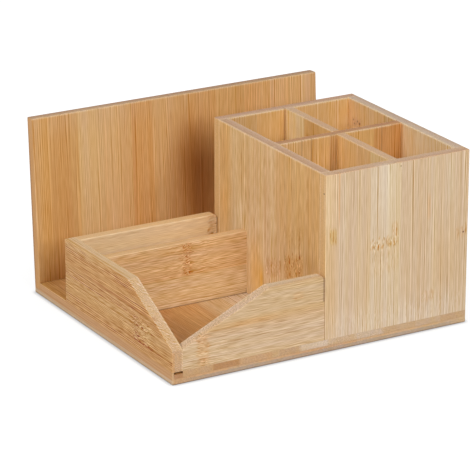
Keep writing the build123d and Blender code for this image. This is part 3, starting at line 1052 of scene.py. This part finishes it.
# %% Finish the pen box's dividers
bamboo("pen_box_cross_divider", "Z", "X",
       [(PEN_LEFT, "#E0B379"), (30.0, "gold"), (52.0, "#E2B06C"), (76.0, "#D3985A")],
       end="#B27A4C", first_seed=2, contrast=1.1, top_arris_highlight=(0.5, 0.0),
       # painted shade in the corner just left of the long divider
       marks=[streak((46.6, CROSS_FRONT, 80.0), (2.8, 4.0, 60.0), "bark", 0.55),
              streak((31.0, CROSS_FRONT, 80.0), (0.6, 4.0, 60.0), "bark", 0.6),
              streak((24.0, CROSS_FRONT, 80.0), (0.5, 4.0, 60.0), "bark", 0.5),
              # painted shade in the corner beside the right wall
              streak((92.5, CROSS_FRONT, 80.0), (4.2, 4.0, 60.0), "toffee", 0.6),
              streak((82.0, CROSS_FRONT, 80.0), (0.6, 4.0, 60.0), "bark", 0.5)])
bamboo("pen_box_long_divider", "Z", "Y",
       # partly painted light: paler, warmer strips deep in the cells
       [(FRONT, "#EECB93"), (-66.0, "#ECBB7C"), (-30.0, "#E5B26E"), (11.0, "#EFCC95")],
       end="#CFA680", first_seed=9, contrast=0.9, top_arris_highlight=(0.15, 0.0),
       marks=[knuckle((1.0, LONG_LEFT, 97.0), (9.5, 4.0, 7.0), "caramel", 0.5, 0.8)])

# %% [markdown]
# ## The tray's front wall
# The tray's boards lie down: the grain runs with each board's length. This wall is as pale as
# the pen box's front, with a knuckle near its left end. Its slope cuts through the strips, so
# its top is half edge and half end grain, and it is dotted all over. At its high end the wall
# stands flush with the pen box, and a dark line is painted down its end: painted shade in the
# gap between the two.

# %% Finish the tray's front wall
bamboo("tray_front_wall", "X", "Z",
       [(BASE_TOP, "#D0B28E"), (28.6, "#CEAF87")],
       end="clay", edge="#D3B99A", first_seed=1, contrast=0.5, flecks=0.75, warmth=0.0,
       stipple=0.95, arris_highlight=0.0, sloped=True, top_arris_highlight=(0.0, 0.3), joint_shade=0.5,
       stains_and_painted_light=[stain_and_painted_light((29.0, FRONT, -50.0), (8.0, 3.0, 150.0), "#CDA577", 0.7),
               stain_and_painted_light((49.0, FRONT, -10.0), (5.0, 3.0, 60.0), "biscuit", 0.8)],
       marks=[knuckle((18.0, FRONT, -82.5), (10.5, 3.0, 5.5), "amber", 0.4, 0.5),
              knuckle((18.0, FRONT, -78.0), (10.5, 3.0, 24.0), "straw", 0.1, 0.2),
              knuckle((30.0, FRONT, -49.0), (1.8, 3.0, 20.0), "amber", 0.25, 0.2),
              knuckle((40.0, FRONT, -17.0), (2.5, 3.0, 5.0), "amber", 0.25, 0.3),
              # painted shade in the gap between the wall's high end and the pen box
              streak((41.0, FRONT, 0.6), (9.0, 3.0, 1.2), "umber", 0.5)])

# %% [markdown]
# ## The tray's left wall
# This is the coarsest board, with bold bundles and many flecks. A knuckle lies low in its front
# half, with a wide frayed place around it. A brown glue line runs a little above the middle, and
# the outer corner of its front end is browner than the rest of the end grain.

# %% Finish the tray's left wall
bamboo("tray_left_wall", "Y", "Z",
       [(BASE_TOP, "#C28E50"), (33.5, "ochre")],
       end="#C8A37F", edge="#D7B68D", first_seed=4, contrast=1.7, flecks=1.05,
       stipple=0.45, sloped=True, top_arris_highlight=(0.0, 0.35), joint_shade=0.5,
       stains_and_painted_light=[stain_and_painted_light((25.0, LEFT, 0.0), (9.0, 3.0, 130.0), "#CEA36A", 0.7),
               stain_and_painted_light((47.0, LEFT, 22.0), (8.0, 3.0, 60.0), "#CEA36A", 0.8),
               stain_and_painted_light((22.0, LEFT, -60.0), (12.0, 3.0, 14.0), "#CDA468", 0.5)],
       marks=[streak((14.0, -102.8, FRONT), (6.8, 1.3, 1.5), "caramel", 0.5),
              fraying((21.0, LEFT, -59.0), (9.0, 3.0, 9.0), 0.5),
              knuckle((21.0, LEFT, -48.5), (9.0, 3.0, 5.0), "bark", 0.3, 0.9),
              fraying((22.0, LEFT, -50.0), (11.0, 3.0, 30.0), 0.3),
              streak((33.5, LEFT, -28.0), (0.9, 3.0, 55.0), "rust", 0.9)])

# %% [markdown]
# ## The tray's cross boards
# The divider has a knuckle across its upper strip, and the painted shade at its joint shows only
# along its foot. The rear wall is pale and plain, with a knuckle cut off at its right end.

# %% Finish the tray's cross boards
bamboo("tray_divider", "X", "Z",
       [(BASE_TOP, "chaff"), (27.0, "#DCB381")],
       end="clay", edge="#DAB180", first_seed=6, contrast=0.75, flecks=0.85, warmth=0.5,
       joint_shade=0.7, joint_top=12.0,
       marks=[knuckle((38.0, TRAY_DIVIDER_FRONT, -41.5), (11.5, 3.0, 5.0), "toffee", 0.35,
                      1.0),
              fraying((38.0, TRAY_DIVIDER_FRONT, -39.0), (11.5, 3.0, 24.0), 0.35)])
bamboo("tray_rear_wall", "X", "Z",
       [(BASE_TOP, "vanilla"), (30.0, "vanilla")],
       end="clay", edge="#DFBA89", first_seed=8, contrast=0.2, flecks=0.45, warmth=0.0,
       top_arris_highlight=(0.25, 0.0), joint_shade=0.7,
       marks=[knuckle((42.0, TRAY_REAR_FRONT, -2.5), (7.5, 3.0, 4.0), "tan", 0.5, 1.0)])

# %% [markdown]
# ## The base board
# Its grain runs from front to back, so its front edge is a cut end. It is glued up from two
# layers, and the line between them shows on the edges. The blocks of another shade on the front
# are the cut ends of single strips. The lowest millimetres of the front are painted greyer and
# darker, as painted shade where the base meets the floor, and those of the left edge are paler.

# %% Finish the base board
BASE_LAYER = 3.9

bamboo("base_board", "Y", "X",
       [(LEFT, "#C79555"), (-75.6, "#CE9B63"), (-57.0, "#CC9960"), (-36.0, "#CDAA7D"),
        (-17.0, "#D1B38F"), (4.0, "linen"), (24.0, "oat"), (43.0, "biscuit"), (66.0, "oat"),
        (84.0, "#CDA576")],
       end="driftwood", edge="#C2915F", end_share=0.6,
       under=(BASE_LAYER, [(LEFT, "caramel"), (-88.0, "#DFA667"), (-66.0, "sand"),
                           (-45.0, "#DEAB77"), (-22.0, "#D99F65"), (0.0, "#D2A178"),
                           (14.0, "#DEA769"), (24.0, "#DEB68D"), (45.0, "#E8BE8D"),
                           (67.0, "#E2B980"), (86.0, "chaff")]),
       first_seed=10, flecks=0.6, warmth=0.3, stipple=0.4, joint_shade=0.7,
       stains_and_painted_light=[stain_and_painted_light((-2.0, BASE_TOP, -40.0), (24.0, 3.0, 90.0), "#D9C3A8", 0.9),
               stain_and_painted_light((-36.0, BASE_TOP, -40.0), (8.0, 3.0, 90.0), "#CD9F69", 0.8),
               stain_and_painted_light((-82.0, BASE_TOP, 62.0), (30.0, 3.0, 28.0), "peach", 0.4)],
       marks=[streak((-66.8, 6.0, FRONT), (10.0, 2.2, 2.0), "bark", 0.75),
              streak((-23.0, 6.0, FRONT), (8.0, 2.2, 2.0), "bark", 0.25),
              streak((-99.2, 5.1, FRONT), (3.2, 1.5, 1.5), "#A0623C", 0.5),
              streak((-6.0, 6.0, FRONT), (10.5, 2.2, 1.5), "#DCCBBA", 0.35),
              streak((32.0, 6.0, FRONT), (11.0, 2.2, 1.5), "#D3C3B4", 0.3),
              streak((0.0, BASE_LAYER, 0.0), (110.0, 0.5, 200.0), "bark", 0.25),
              # painted shade: the foot of the front, greyer and darker where the base meets the
              # floor
              streak((0.0, 0.6, FRONT), (102.5, 2.2, 2.0), "#9A9189", 0.5),
              streak((LEFT, 0.8, 0.0), (0.9, 2.4, 200.0), "#C8AC8C", 0.8)])

# %% [markdown]
# ## The back panel
# The grain runs up, and the board leans back by three degrees, so its places lean as well. Its
# strips differ more than those of any other board. Where it passes behind the pen box's left
# wall, the pen box's soft shadow is painted on it: it is darker and redder there. The bundles are
# bolder behind the pen box. Two brown streaks run up the left edge, and the one along its rear
# arris is painted shade. Along the top, a pale line on the front arris is a painted highlight and
# a dark line towards the rear is painted shade.

# %% Finish the back panel
bamboo("back_panel", "Z", "X",
       [(LEFT, "#D2A164"), (-92.4, "#CB975A"), (-78.2, "#CE9E60"), (-72.5, "#D7AF79"),
        (-54.5, "#D7AB75"), (-34.5, "#D49E60"), (-19.0, "#D6A76F"), (6.9, "#D6A164"),
        (27.5, "#DAA96B"), (42.3, "#D5A161"), (48.5, "#DFAA6D"), (61.0, "#E2B176"),
        (68.0, "#E3B37C"), (81.6, "#DFB078"), (94.0, "#DFB17F"), (98.0, "#D4A36C")],
       end="#B0835A", edge="#CB9659", first_seed=11, contrast=0.85, warmth=0.55,
       bolder=(27.5, 1.25), lean=PANEL_LEAN,
       # painted highlight on the front top arris, and painted shade towards the rear one
       top_lines=[(80.4, "cream", 0.3), (85.6, "umber", 0.35)],
       # the first two stains are painted shadow: the pen box's soft shadow, darker and redder in
       # its core
       stains_and_painted_light=[stain_and_painted_light((8.5, PANEL_FRONT, 55.0), (24.0, 5.0, 60.0), "toffee", 0.9),
               stain_and_painted_light((11.0, PANEL_FRONT, 75.0), (20.0, 5.0, 36.0), "rust", 0.6),
               stain_and_painted_light((-58.0, PANEL_FRONT, 112.0), (90.0, 5.0, 16.0), "sand", 0.3)],
       # the first streak, along the left edge's rear arris, is painted shade
       marks=[streak((LEFT, 87.0, 55.0), (1.5, 2.4, 80.0), "umber", 0.45),
              streak((LEFT, 83.5, 55.0), (1.5, 2.0, 80.0), "rust", 0.2)])
